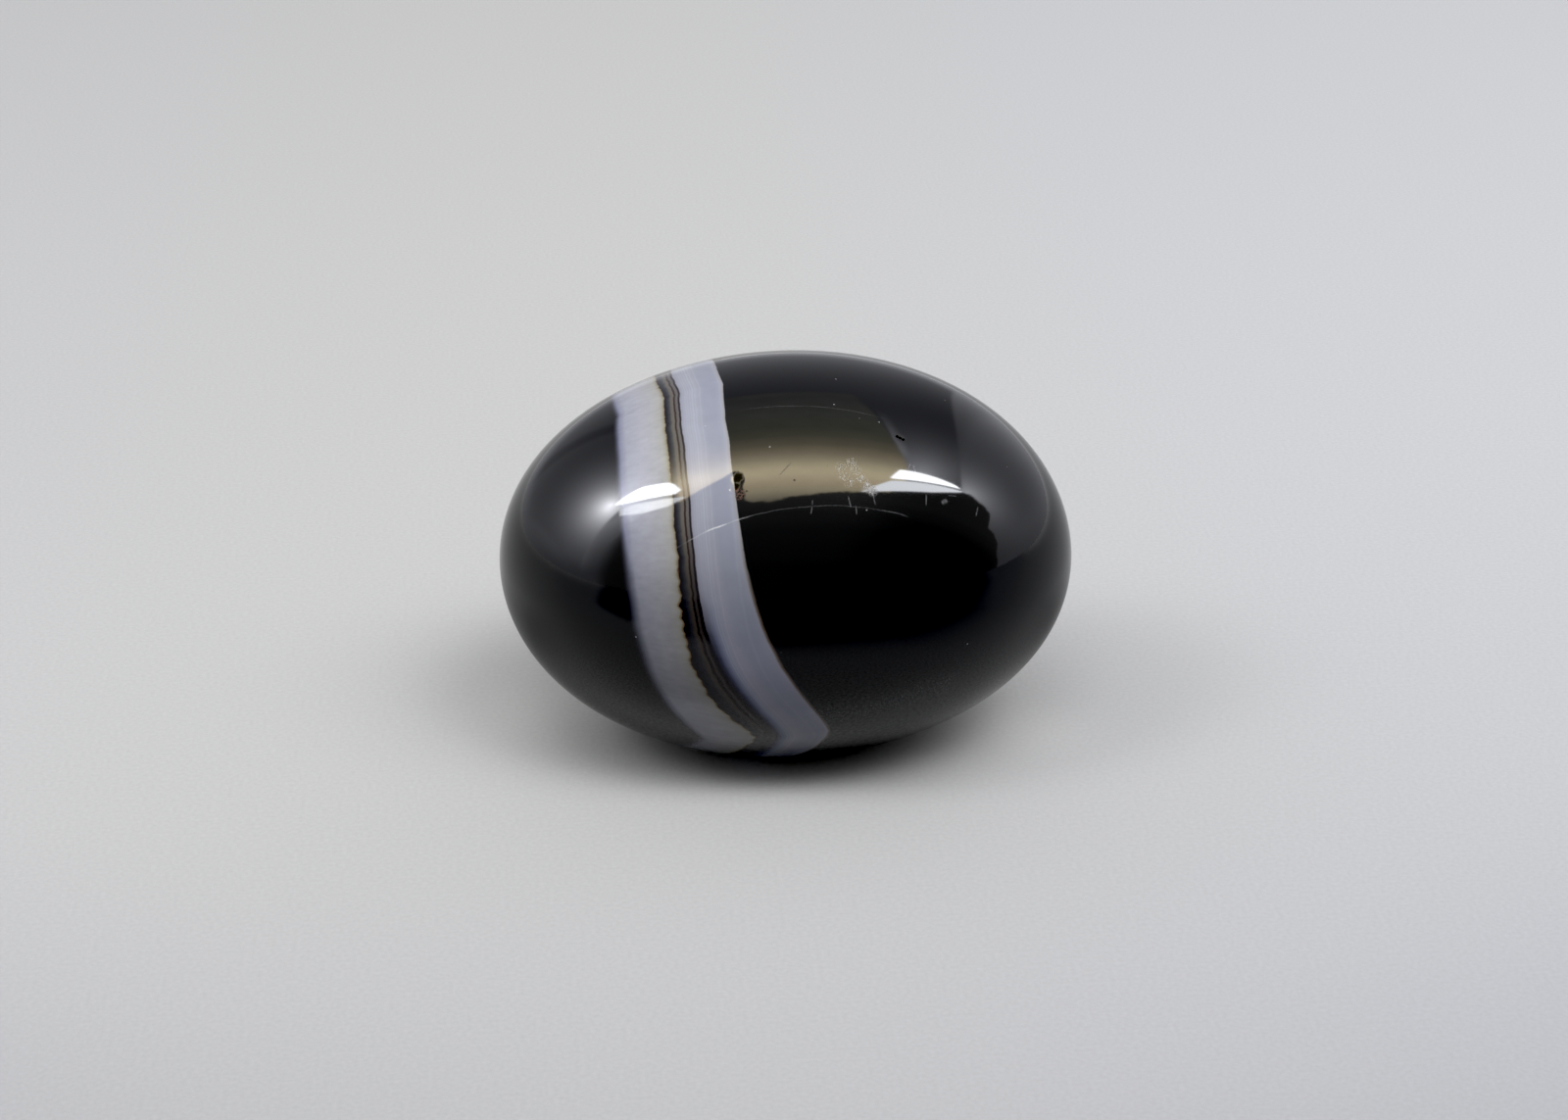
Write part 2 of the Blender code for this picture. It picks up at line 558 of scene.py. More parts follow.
def seam_layers(w, past, upper):
    """The brown seam: a dark ragged start, then taupe layers parted by two thin dark lines.

    On the lower side the same layers are darker, as painted shade.
    """
    across = between(w, past["seam"], past["lavender"])
    above = w.ramp(across, SEAM_ABOVE)
    # the lower side's colours are the same layers in painted shade
    below = w.ramp(across, SEAM_PAINTED_SHADE_BELOW)
    return w.blend(upper, below, above)


# Colours across the lavender band, from the seam to the black
LAVENDER = (
    (0.00, (0.31, 0.315, 0.385)),
    (0.12, (0.355, 0.365, 0.44)),
    (0.40, (0.365, 0.375, 0.45)),
    (0.55, (0.325, 0.340, 0.42)),
    (0.80, (0.315, 0.332, 0.415)),
    (0.92, (0.335, 0.348, 0.425)),
    (1.00, (0.38, 0.375, 0.40)),
)
# Its fine lines, by mm from the seam, as half the shade: plain ground is 0.5
PLAIN, LINE, STRONG_LINE, FAINT_LINE = 0.5, 0.55, 0.585, 0.53
LAVENDER_LINES = (
    (0.00, PLAIN), (0.10, PLAIN), (0.15, LINE), (0.20, PLAIN), (0.27, LINE), (0.32, PLAIN),
    (0.37, LINE), (0.43, PLAIN), (0.50, LINE), (0.56, PLAIN), (0.62, STRONG_LINE), (0.69, PLAIN),
    (0.76, LINE), (0.84, PLAIN), (0.95, PLAIN), (1.00, LINE), (1.06, PLAIN), (1.90, PLAIN),
    (2.02, FAINT_LINE), (2.12, PLAIN), (2.30, PLAIN),
)
# Painted shade on its lower part beside the seam, dark close to it and a little bluer further on,
# by mm from the seam
LAVENDER_PAINTED_SHADE = (
    (0.00, (0.04, 0.04, 0.07)),
    (0.18, (0.12, 0.13, 0.22)),
    (0.40, (0.45, 0.50, 0.66)),
    (0.65, (0.84, 0.88, 0.97)),
    (0.90, (1.0, 1.0, 1.05)),
)
LAVENDER_MOTTLE = 0.16


def lavender_band(w, past, slope, position):
    """The lavender band: fine pale lines in its left half, and painted shade beside the seam low
    down.
    """
    body = w.ramp(between(w, past["lavender"], past["black"]), LAVENDER)
    lines = w.times(w.ramp(past["lavender"], LAVENDER_LINES), (2.0, 2.0, 2.0))
    mottle = w.noise(position, scale=1.1, detail=4.0)
    mottle = w.total(w.product(mottle, LAVENDER_MOTTLE), 1 - LAVENDER_MOTTLE / 2)
    colour = w.times(w.times(body, lines), w.grey(mottle))
    # painted shade beside the seam on the lower part
    lower = w.fall(slope, *LAVENDER_SHADE_ENDS)
    return w.blend(lower, colour, w.times(colour, w.ramp(past["lavender"], LAVENDER_PAINTED_SHADE)))


# Where a layer starts and where it is full, in mm past its sheet; a third number is how much
# later it is full on the lower side
MILKY_START = (-0.12, 0.24, 0.45)
SEAM_START = (-0.02, 0.02)
LAVENDER_START = (-0.02, 0.03)
BLACK_START = (-0.02, 0.04, 0.08)
BLACK = (0.0012, 0.0012, 0.0015)
# An ochre line along the milky band's edge at the seam
OCHRE = (0.17, 0.105, 0.045)
OCHRE_EDGE = (-0.14, -0.02)
OCHRE_SHARE = 0.30
OCHRE_MORE_LOW = 0.45
# A warm fringe along the lavender band's right edge
WARM_FRINGE = (0.085, 0.050, 0.022)
FRINGE_EDGE = (-0.16, 0.0)
FRINGE_SHARE = 0.1
FRINGE_MORE_LOW = 0.75
# A small red-brown spot at the seam. This and all later places on the stone are in mm from the
# egg's middle, and an edge is the mm from there at which the mark starts and ends fading
RED_SPOT = (-6.03, -9.33, 3.45)
RED_SPOT_EDGE = (0.07, 0.16)
RED_SPOT_SHARE = 0.8
RED_SPOT_COLOUR = (0.10, 0.03, 0.022)
AGATE_IOR = 1.54
# Painted shade on the whole stone by the turn round the long axis, in degrees: darkest around the
# front
STONE_PAINTED_SHADE = (
    (-180, 1.0), (-100, 0.95), (-60, 0.74), (-45, 0.75), (-32, 0.84), (-20, 0.69), (-8, 0.63),
    (10, 0.645), (22, 0.735), (28, 0.80), (35, 0.885), (43, 0.935), (50, 0.975), (60, 1.0),
    (180, 1.0),
)


def layer_colours(w, past, turn, position, sheet_plane):
    """The stone's colour from left to right: black, milky band, seam, lavender band, black.

    Each layer is laid over the one before from its own sheet on. Edges are softer low down.
    Last, painted shade darkens the whole stone around the front.
    """
    slope = w.work("DEGREES", w.work("ARCSINE", w.work("SINE", w.work("RADIANS", turn))))
    upper = w.rise(slope, *UPPER_LOOKS)
    low = w.rest(upper)
    roughen_edges(w, past, upper, sheet_plane)

    start, full, softer = MILKY_START
    milky_share = w.rise(past["white"], start, w.total(full, w.product(low, softer)))
    colour = w.blend(milky_share, BLACK, white_band(w, past, turn, position))
    ochre = w.total(OCHRE_SHARE, w.product(low, OCHRE_MORE_LOW))
    ochre = w.product(w.rise(past["seam"], *OCHRE_EDGE), ochre)
    colour = w.blend(ochre, colour, OCHRE)
    red = w.fall(w.vector("DISTANCE", position, RED_SPOT), *RED_SPOT_EDGE)
    colour = w.blend(w.product(red, RED_SPOT_SHARE), colour, RED_SPOT_COLOUR)
    colour = w.blend(w.rise(past["seam"], *SEAM_START), colour, seam_layers(w, past, upper))
    lavender = lavender_band(w, past, slope, position)
    colour = w.blend(w.rise(past["lavender"], *LAVENDER_START), colour, lavender)
    fringe = w.total(w.product(low, FRINGE_MORE_LOW), FRINGE_SHARE)
    fringe = w.product(w.rise(past["black"], *FRINGE_EDGE), fringe)
    colour = w.blend(fringe, colour, WARM_FRINGE)
    start, full, softer = BLACK_START
    black_share = w.rise(past["black"], start, w.total(full, w.product(low, softer)))
    colour = w.blend(black_share, colour, BLACK)
    # painted shade over the whole stone, darkest around the front
    return w.times(colour, w.grey(w.curve(turn, STONE_PAINTED_SHADE)))


def stone_material(middle):
    material = bpy.data.materials.new("black_agate")
    material.use_nodes = True
    w = Wiring(material.node_tree)
    shader = material.node_tree.nodes["Principled BSDF"]
    place = w.node("ShaderNodeTexCoord").outputs["Object"]
    position = w.vector("SCALE", w.vector("SUBTRACT", place, tuple(middle)))
    w.feed(position.node.inputs["Scale"], 1 / MM)

    sheet_plane = w.stretched(position, (0, 1, 1))
    past, turn = past_sheets(w, position, sheet_plane)
    colour = layer_colours(w, past, turn, position, sheet_plane)
    colour, rough, broken = add_wear(w, position, colour, past["black"])
    w.feed(shader.inputs["Base Color"], colour)
    w.feed(shader.inputs["Roughness"], rough)
    w.feed(shader.inputs["Metallic"], broken)
    shader.inputs["IOR"].default_value = AGATE_IOR
    return material


# Long scratches: facing of the cut and its offset, middle, reach, width, strength. The first
# three share one cut, and the two short, stronger ones on it are a painted glint.
PALE_SCRATCHES_AND_GLINT = (
    ((0.042, -0.997, -0.067), 8.27, (-1.65, -8.78, 6.17), 7.5, 0.032, 0.055),
    ((0.042, -0.997, -0.067), 8.27, (-4.00, -8.86, 5.45), 1.9, 0.034, 0.28),
    ((0.042, -0.997, -0.067), 8.27, (-4.13, -8.86, 5.36), 0.62, 0.042, 0.85),
    ((-0.037, -0.962, 0.271), 6.56, (0.99, -4.09, 9.80), 4.2, 0.030, 0.05),
    ((0.042, -0.997, -0.067), 8.27, (4.55, -8.53, 5.75), 0.9, 0.036, 0.07),
)
DARK_SCRATCHES = (
    ((-0.387, -0.308, 0.869), 9.31, (-0.66, -7.30, 7.84), 0.62, 0.030, 1.0),
    ((0.97, -0.15, -0.15), 1.31, (1.49, -7.20, 7.88), 0.28, 0.022, 0.8),
    ((0.97, -0.15, -0.15), -1.50, (-1.68, -7.99, 7.12), 0.2, 0.020, 0.6),
)
# Short pale strokes under and beside the right lamp: middle, facing, half length
STROKES = (
    ((2.41, -8.47, 6.45), (0.93, -0.15, 0.30), 0.26),
    ((3.65, -8.23, 6.46), (0.93, -0.15, 0.30), 0.28),
    ((2.71, -8.70, 6.09), (0.98, -0.10, 0.10), 0.20),
    ((6.29, -7.67, 6.08), (0.99, -0.10, -0.05), 0.26),
    ((7.69, -7.05, 5.99), (0.00, 0.67, 0.74), 0.20),
    ((7.25, -7.41, 5.84), (0.25, -0.55, 0.80), 0.18),
    ((8.94, -7.02, 5.09), (0.95, -0.20, -0.20), 0.24),
    ((0.57, -8.59, 6.51), (0.99, -0.10, -0.10), 0.12),
    ((0.50, -8.83, 6.20), (0.97, -0.15, -0.15), 0.16),
    ((5.80, -6.67, 7.31), (0.80, -0.30, 0.45), 0.22),
    ((5.55, -6.60, 7.45), (0.93, -0.25, -0.25), 0.16),
)
STROKE_WIDTH = 0.045
STROKE_STRENGTH = 0.16
STROKE_REACH = 1.3  # times its half length

# The scuff's path, and the angles and the run of its fine strokes
SCUFF = (
    (2.09, -7.25, 7.78), (2.20, -7.59, 7.44), (2.43, -7.76, 7.24), (2.65, -6.99, 7.91),
    (2.81, -7.30, 7.62), (3.03, -7.58, 7.31), (3.30, -7.80, 7.03), (3.57, -7.97, 6.77),
)
SCUFF_EDGE = (0.10, 0.38)
SCUFF_ANGLES = (-14, 20)
SCUFF_RUN = (17.0, 4.2, 4.2)
SCUFF_LINES = (0.56, 0.66)  # noise between which a stroke appears
SCUFF_SPECKS = (0.62, 0.70)  # and a speck
SCUFF_STRENGTH = 0.34
SCUFF_DULL = 0.25  # how dull the polish is between the strokes
SCUFF_STROKE_DULL = 0.5  # and how much more in them

# Broken ground
GROUND_UNEVEN = 0.22  # how far its edges stray, in mm
PIT = ((-3.05, -7.47, 7.41), (-2.98, -7.38, 7.50), (-3.16, -7.72, 7.14))
PIT_EDGE = (0.12, 0.30)
PIT_UNEVEN = 1.5  # times that of the other ground
PIT_SHARE = 0.9
PIT_COLOUR = (0.009, 0.009, 0.008)
RED_PATCH = (-3.02, -8.02, 6.85)
RED_PATCH_EDGE = (0.14, 0.46)
RED_PATCH_GAPS = (0.40, 0.62)  # noise between which the stain appears
RED_PATCH_SHARE = 0.8
RED_PATCH_COLOUR = (0.085, 0.034, 0.030)
CHIP = ((5.09, -5.30, 8.54), (5.23, -5.34, 8.47), (5.38, -5.38, 8.40))
CHIP_EDGE = (0.05, 0.12)
DOTS = ((-0.25, -7.80, 7.40), (-3.41, -7.81, 6.99), (-2.60, -7.95, 6.95))
DOT_EDGE = (0.03, 0.09)
PAST_BLACK_EDGE = (-0.05, 0.03)  # the pit and its patch stop at the lavender band
# How dull the patch, the pit and the chip are, the dots being 1
PATCH_DULL, PIT_DULL, CHIP_DULL = 0.5, 1.6, 2.0
# How far the patch's and the dots' ground is broken, the pit's and the chip's being 1
PATCH_BROKEN, DOTS_BROKEN = 0.2, 0.4

# Dust: single grains, random grains in cells, and a trail of very fine pale grains low on the
# right, partly dust and partly a painted sheen of the mirrored board's grain
DUST = (
    (8.34, -8.97, -1.26), (-8.20, -9.12, -0.17), (2.36, -1.75, 10.33), (2.06, -3.90, 9.79),
    (-1.34, -6.30, 8.60), (7.96, -1.44, 8.87), (3.24, -8.64, 6.05), (-4.42, -4.54, 9.11),
    (10.89, -3.95, 6.20), (4.24, -4.69, 9.09), (12.99, -4.65, -2.77),
)
DUST_EDGE = (0.02, 0.055)
DUST_STRENGTH = 0.35
SPECK_CELLS, SPECK_SIZE, SPECK_SHARE = 0.9, 0.045, 0.10
SPECK_STRENGTH = 0.5  # against the single grains
DUST_AND_SHEEN_TRAIL = (
    (0.90, -9.80, -4.70), (2.03, -9.76, -4.49), (3.04, -9.62, -4.44), (4.04, -9.48, -4.39),
    (5.05, -9.32, -4.13), (6.05, -9.15, -3.86), (7.20, -8.75, -3.65),
)
DUST_AND_SHEEN_EDGE = (0.0, 1.5)
DUST_AND_SHEEN_GRAINS = (0.48, 0.78)  # noise between which a grain appears
DUST_AND_SHEEN_STRENGTH = 0.14

PALE_MARK = (0.72, 0.73, 0.76)  # scratched polish and dust
POLISH_ROUGH = 0.035
HAZE_ROUGH = 0.03
DULL_ROUGH = 0.35


def nearest(w, position, places):
    """How far the nearest of the places is."""
    near = None
    for place in places:
        away = w.vector("DISTANCE", position, place)
        near = w.work("MINIMUM", near, away) if near else away
    return near


def scratch(w, hairline, position, facing, offset, middle, reach, width):
    return w.use(
        hairline, Position=position, Facing=facing, Offset=offset, Middle=middle, Reach=reach,
        Width=width,
    )["Mask"]


def add_scratches(w, position, colour, hairline):
    """Long pale scratches in the colour, with a painted glint on one, and dark ones that only dull
    the polish.
    """
    # pale scratches, and a painted glint where one is brightest
    for *cut, strength in PALE_SCRATCHES_AND_GLINT:
        pale = w.product(scratch(w, hairline, position, *cut), strength)
        colour = w.blend(pale, colour, PALE_MARK)
    dull = 0.0
    for *cut, strength in DARK_SCRATCHES:
        dull = w.total(dull, w.product(scratch(w, hairline, position, *cut), strength))
    return colour, dull


def add_scuff(w, position, colour, dull, hairline):
    """Fine strokes and specks inside a soft path, and the short strokes beside it."""
    inside = w.fall(nearest(w, position, SCUFF), *SCUFF_EDGE)
    strokes = None
    for angle in SCUFF_ANGLES:
        turned = w.stretched(position, SCUFF_RUN, (0, math.radians(angle), 0))
        lines = w.rise(w.noise(turned, scale=1.0), *SCUFF_LINES)
        strokes = w.work("MAXIMUM", strokes, lines) if strokes else lines
    specks = w.rise(w.noise(position, scale=14.0), *SCUFF_SPECKS)
    scuffed = w.product(inside, w.work("MAXIMUM", strokes, specks))
    colour = w.blend(w.product(scuffed, SCUFF_STRENGTH), colour, PALE_MARK)
    dull = w.total(
        dull, w.product(inside, SCUFF_DULL), w.product(scuffed, SCUFF_STROKE_DULL)
    )
    for middle, facing, half in STROKES:
        offset = sum(a * b for a, b in zip(middle, facing))
        reach = half * STROKE_REACH
        mask = scratch(w, hairline, position, facing, offset, middle, reach, STROKE_WIDTH)
        colour = w.blend(w.product(mask, STROKE_STRENGTH), colour, PALE_MARK)
    return colour, dull


def add_broken_ground(w, position, colour, dull, past_black):
    """The pit, the red-brown patch below it, the chip and dark dots."""
    uneven = w.product(w.unevenness(position, scale=5.0, detail=3.0), GROUND_UNEVEN)
    on_black = w.rise(past_black, *PAST_BLACK_EDGE)
    away = w.total(nearest(w, position, PIT), w.product(uneven, PIT_UNEVEN))
    pit = w.product(w.fall(away, *PIT_EDGE), on_black)
    away = w.total(w.vector("DISTANCE", position, RED_PATCH), uneven)
    stained = w.rise(w.noise(position, scale=10.0, detail=3.0), *RED_PATCH_GAPS)
    patch = w.product(w.fall(away, *RED_PATCH_EDGE), stained, on_black)
    colour = w.blend(w.product(patch, RED_PATCH_SHARE), colour, RED_PATCH_COLOUR)
    colour = w.blend(w.product(pit, PIT_SHARE), colour, PIT_COLOUR)
    chip = w.fall(nearest(w, position, CHIP), *CHIP_EDGE)
    dots = w.fall(nearest(w, position, DOTS), *DOT_EDGE)
    dull = w.total(
        dull, w.product(patch, PATCH_DULL), w.product(pit, PIT_DULL), w.product(chip, CHIP_DULL),
        dots,
    )
    broken = w.total(w.product(patch, PATCH_BROKEN), pit, chip, w.product(dots, DOTS_BROKEN))
    return colour, dull, w.work("MINIMUM", broken, 1.0)


def add_dust(w, position, colour):
    dust = w.fall(nearest(w, position, DUST), *DUST_EDGE)
    specks = w.use(
        speck_group(), Position=position, Cells=SPECK_CELLS, Size=SPECK_SIZE, Share=SPECK_SHARE
    )["Mask"]
    dusty = w.work("MAXIMUM", dust, w.product(specks, SPECK_STRENGTH))
    colour = w.blend(w.product(dusty, DUST_STRENGTH), colour, PALE_MARK)
    # a trail of fine pale grains: dust, and a painted sheen of the mirrored board
    dust_and_sheen = w.fall(nearest(w, position, DUST_AND_SHEEN_TRAIL), *DUST_AND_SHEEN_EDGE)
    grains = w.rise(w.noise(position, scale=15.0, detail=1.0), *DUST_AND_SHEEN_GRAINS)
    return w.blend(w.product(dust_and_sheen, grains, DUST_AND_SHEEN_STRENGTH), colour, PALE_MARK)


def add_wear(w, position, colour, past_black):
    """All wear and dust, with a painted glint on one scratch and painted sheen in the fine trail.
    Returns the colour, the roughness and how far the ground is broken.

    Broken ground goes to Metallic, because it mirrors only in its own dark colour.
    """
    hairline = hairline_group()
    colour, dull = add_scratches(w, position, colour, hairline)
    colour, dull = add_scuff(w, position, colour, dull, hairline)
    colour, dull, broken = add_broken_ground(w, position, colour, dull, past_black)
    colour = add_dust(w, position, colour)
    haze = w.product(w.noise(position, scale=0.35, detail=3.0), HAZE_ROUGH)
    rough = w.total(w.product(w.work("MINIMUM", dull, 1.0), DULL_ROUGH), haze, POLISH_ROUGH)
    return colour, rough, broken


def side_mask(w, place, point, turn, soft):
    """1 on one side of a straight line and 0 on the other. The lit side lies towards turn."""
    facing = (math.cos(math.radians(turn)), math.sin(math.radians(turn)), 0)
    past = w.vector("DOT_PRODUCT", place, facing)
    edge = facing[0] * point[0] + facing[1] * point[1]
    return w.rise(past, edge - soft / 2, edge + soft / 2)


def panel_mask(w, place, corners, soft):
    """A panel with straight sides, from its corners in turn, against the clock."""
    mask = None
    for (x0, y0), (x1, y1) in zip(corners, corners[1:] + corners[:1]):
        turn = math.degrees(math.atan2(y1 - y0, x1 - x0)) + 90
        side = side_mask(w, place, (x0, y0), turn, soft)
        mask = w.product(mask, side) if mask else side
    return mask


def glow(w, place, middle, height, reach, tall=1.0):
    """height times exp(-d / reach), with d the distance from the middle."""
    off = w.vector("MULTIPLY", w.vector("SUBTRACT", place, middle + (0,)), (1, 1 / tall, 0))
    return w.product(w.work("EXPONENT", w.product(w.vector("LENGTH", off), -1 / reach)), height)


def soft_light(w, place, middle, height, wide, tall):
    """height times exp(-(distance / half width) squared)."""
    off = w.vector("SUBTRACT", place, middle + (0,))
    off = w.vector("MULTIPLY", off, (1 / wide, 1 / tall, 0))
    return w.product(w.work("EXPONENT", w.product(w.vector("DOT_PRODUCT", off, off), -1)), height)


# The board. Its places are in mm: across is towards the right, ahead towards the camera
FLOOR_HALF = 1.5  # half its side, in metres
GRAINS = 4200.0  # per metre
GRAIN_SEEN = 0.20
GRAIN_MIRRORED = 0.8  # added in the polish
# Its shade along the way ahead, as the camera sees it, and as the polish mirrors it
SHADE_AHEAD = (
    (-200, 0.827), (-160, 0.858), (-110, 0.891), (-60, 0.921), (-20, 0.931), (-4, 0.922),
    (6, 0.912), (18, 0.896), (30, 0.855), (36, 0.828), (42, 0.80), (60, 0.79), (120, 0.90),
    (200, 0.92),
)
SHADE_AHEAD_MIRRORED = (
    (-200, 0.87), (-110, 0.90), (-30, 0.93), (0, 0.95), (18, 0.91), (60, 0.91),
)
SHADE_HELD = 80 * MM  # how far across the shade's slope and corners go on
SIDE_SLOPE = 0.6  # per metre, lighter towards the right behind the stone
CORNER_SLOPE = -40.0  # per metre squared, darker towards the frame's two front corners
# How much brighter the far board is in the polish, by degrees round the stone: 0 in front
BRIGHTER_ROUND = (
    (-180, 0.6), (-140, 0.45), (-110, 0.36), (-80, 0.40), (-55, 0.2), (60, 0.0), (80, 0.0),
    (92, 0.36), (115, 0.85), (180, 0.9),
)
# Where the mirrored board's front edge is ahead, by the mm across
FRONT_EDGE = (
    (-70, 30), (0, 29), (13, 26), (22, 22), (32, 22), (42, 25), (62, 31), (90, 36),
)
# Patches of the board: middle, strength, half width and half length
SHADOW_CORE = ((4.8 * MM, -5.8 * MM), 0.12, 4 * MM, 2.2 * MM)
THROWN_LIGHT = (
    ((-14.0 * MM, 3.0 * MM), 0.062, 3.5 * MM, 4.5 * MM),
    ((13.0 * MM, -1.0 * MM), 0.060, 3.5 * MM, 3.5 * MM),
)
THROWN_EVERYWHERE = 0.0055
THROWN_LEAST = 0.004
THROWN_TINT = (1.0, 0.975, 0.95, 1)
# How much the polish dims the mirrored board: past its front edge, everywhere, at the right,
# and close behind the stone at the left and the right
DIM_PAST_EDGE = 0.38
DIM_EVERYWHERE = 0.10
DIM_RIGHT = 0.12
DIM_LEFT_BACK = 0.38
DIM_RIGHT_BACK = 0.36
END_LEFT = (-65.0, -58.0)  # round the stone: the front edge ends here at the left
END_RIGHT = (58.0, 70.0)
BOUNCE_LOST = 0.75  # share of the matt light that the board doesn't send back up
BOARD_LEFT = (0.626, 0.627, 0.628)
BOARD_RIGHT = (0.622, 0.628, 0.652)
BOARD_FAR_LEFT = (0.620, 0.624, 0.645)
BOARD_FRONT = (0.992, 0.994, 1.02)
BOARD_ROUGH = 0.6


def in_mm(points, heights_too=False):
    """A curve's points with their places, or both numbers, given in mm."""
    return [(place * MM, height * MM if heights_too else height) for place, height in points]


def board_shade(w, across, ahead, round_about, from_stone, is_mirrored):
    """The board's slow fall-off, one for the camera and one for the polish."""
    held = w.work("MINIMUM", w.work("MAXIMUM", across, -SHADE_HELD), SHADE_HELD)
    side = w.product(held, w.rise(ahead, 10 * MM, -50 * MM), SIDE_SLOPE)
    starts, ends = w.rise(ahead, 5 * MM, 40 * MM), w.rise(ahead, 110 * MM, 45 * MM)
    corner = w.product(held, held, starts, ends, CORNER_SLOPE)
    seen = w.product(w.curve(ahead, in_mm(SHADE_AHEAD)), w.total(side, corner, 1.0))

    brighter = w.product(w.curve(round_about, BRIGHTER_ROUND), w.rise(from_stone, 0.05, 0.6))
    mirrored = w.product(w.curve(ahead, in_mm(SHADE_AHEAD_MIRRORED)), w.total(brighter, 1.0))
    return w.total(w.product(seen, w.rest(is_mirrored)), w.product(mirrored, is_mirrored))


def mirrored_dimmer(w, across, ahead, round_about, from_stone):
    """How much darker the polish mirrors the board.

    It ends in front in a dark opening, its right side is dimmer, and so are two places close
    behind the stone.
    """
    past_edge = w.work("SUBTRACT", ahead, w.curve(across, in_mm(FRONT_EDGE, heights_too=True)))
    soft = w.total(w.product(w.rise(across, -20 * MM, 30 * MM), 9 * MM), 3 * MM)
    end = w.rise(past_edge, w.product(soft, -1.0), w.product(soft, 2.0))
    end = w.product(end, w.rise(round_about, *END_LEFT), w.fall(round_about, *END_RIGHT))
    close = w.rise(from_stone, 36 * MM, 20 * MM)
    left_back = w.product(
        w.rise(across, -6 * MM, -15 * MM), w.rise(ahead, 8 * MM, -4 * MM), close
    )
    right_back = w.product(
        w.rise(across, 6 * MM, 15 * MM), w.rise(ahead, 6 * MM, -6 * MM), close
    )
    right = w.rise(across, 4 * MM, 40 * MM)
    return w.total(
        w.product(end, DIM_PAST_EDGE), DIM_EVERYWHERE, w.product(right, DIM_RIGHT),
        w.product(left_back, DIM_LEFT_BACK), w.product(right_back, DIM_RIGHT_BACK),
    )


def board_tint(w, across, ahead):
    """Neutral at the left, bluish towards the right, the far left and the front."""
    tint = w.blend(w.rise(across, -10 * MM, 45 * MM), BOARD_LEFT, BOARD_RIGHT)
    tint = w.blend(w.product(w.rise(across, -25 * MM, -50 * MM), 0.5), tint, BOARD_FAR_LEFT)
    return w.blend(w.rise(ahead, 4 * MM, 34 * MM), tint, w.times(tint, BOARD_FRONT))


def floor_material():
    """A pale, very finely grained board."""
    material = bpy.data.materials.new("pale_floor")
    material.use_nodes = True
    w = Wiring(material.node_tree)
    shader = material.node_tree.nodes["Principled BSDF"]
    place = w.node("ShaderNodeTexCoord").outputs["Object"]
    x, y, _ = w.axes(place)
    across, ahead = x, w.product(y, -1.0)
    round_about = w.work("DEGREES", w.work("ARCTAN2", across, ahead))
    from_stone = w.vector("LENGTH", place)
    ray = w.node("ShaderNodeLightPath").outputs
    is_mirrored = ray["Is Glossy Ray"]

    grain = w.unevenness(place, scale=GRAINS, detail=3.0)
    grain_strength = w.total(w.product(is_mirrored, GRAIN_MIRRORED), GRAIN_SEEN)
    shade = w.total(w.product(grain, grain_strength), 1.0)
    shade = w.product(shade, w.rest(soft_light(w, place, *SHADOW_CORE)))
    fall_off = board_shade(w, across, ahead, round_about, from_stone, is_mirrored)
    dimmer = mirrored_dimmer(w, across, ahead, round_about, from_stone)
    dimmed = w.rest(w.product(is_mirrored, dimmer))
    bounced = w.rest(w.product(ray["Is Diffuse Ray"], BOUNCE_LOST))
    shade = w.product(shade, fall_off, dimmed, bounced)
    w.feed(shader.inputs["Base Color"], w.times(board_tint(w, across, ahead), w.grey(shade)))

    # Light that the polish throws back into its own shadow, left and right of the stone
    thrown = THROWN_EVERYWHERE
    for patch in THROWN_LIGHT:
        thrown = w.total(soft_light(w, place, *patch), thrown)
    w.feed(shader.inputs["Emission Strength"], w.work("MAXIMUM", thrown, THROWN_LEAST))
    shader.inputs["Emission Color"].default_value = THROWN_TINT
    shader.inputs["Roughness"].default_value = BOARD_ROUGH
    shader.inputs["Specular IOR Level"].default_value = 0.0
    return material


def make_floor():
    mesh = bpy.data.meshes.new("floor")
    side = FLOOR_HALF
    corners = [(-side, -side, 0), (side, -side, 0), (side, side, 0), (-side, side, 0)]
    mesh.from_pydata(corners, [], [(0, 1, 2, 3)])
    floor = bpy.data.objects.new("floor", mesh)
    bpy.context.scene.collection.objects.link(floor)
    mesh.materials.append(floor_material())
    return floor


# The tent's own middle leans towards the camera, and it is turned a little against it
TENT_LEAN = math.radians(21.5)
TENT_TURN = math.radians(0.85)
TENT_WIDE = 0.963  # how the angles across are drawn in
TENT_RAISE = 0.9  # and those back are moved

# The tent's light on matt surfaces: middle in degrees, strength, half width, half height
MATT_LIGHTS = (
    ((-37, 0), 8.3, 9.5, 9),
    ((18, -6), 11.8, 11, 10),
    ((-6, -5), 6.0, 14, 10),
    ((37, -3), 3.5, 10, 8),
)
MATT_BACK = ((-180, 0.10), (-60, 0.10), (-20, 0.30), (20, 0.30), (50, 0.45), (180, 0.45))
MATT_TINT = (1.0, 1.0, 1.0, 1)
PLAIN_BACKGROUND = (0.61, 0.615, 0.625, 1)

# The mirrored tent, in degrees across and back. Its walls' light by the degrees across
WALLS = (
    (-160, 0.36), (-140, 0.39), (-130, 0.44), (-120, 0.53), (-110, 0.66), (-100, 0.66),
    (-90, 0.84), (-78, 0.62), (-60, 0.50), (-35, 0.46), (20, 0.46), (33, 0.40), (43, 0.37),
    (50, 0.48), (62, 0.46), (75, 0.43), (90, 0.56), (100, 0.50), (110, 0.42), (130, 0.32),
    (145, 0.22),
)
WALL_TINT = (0.975, 0.985, 1.05)
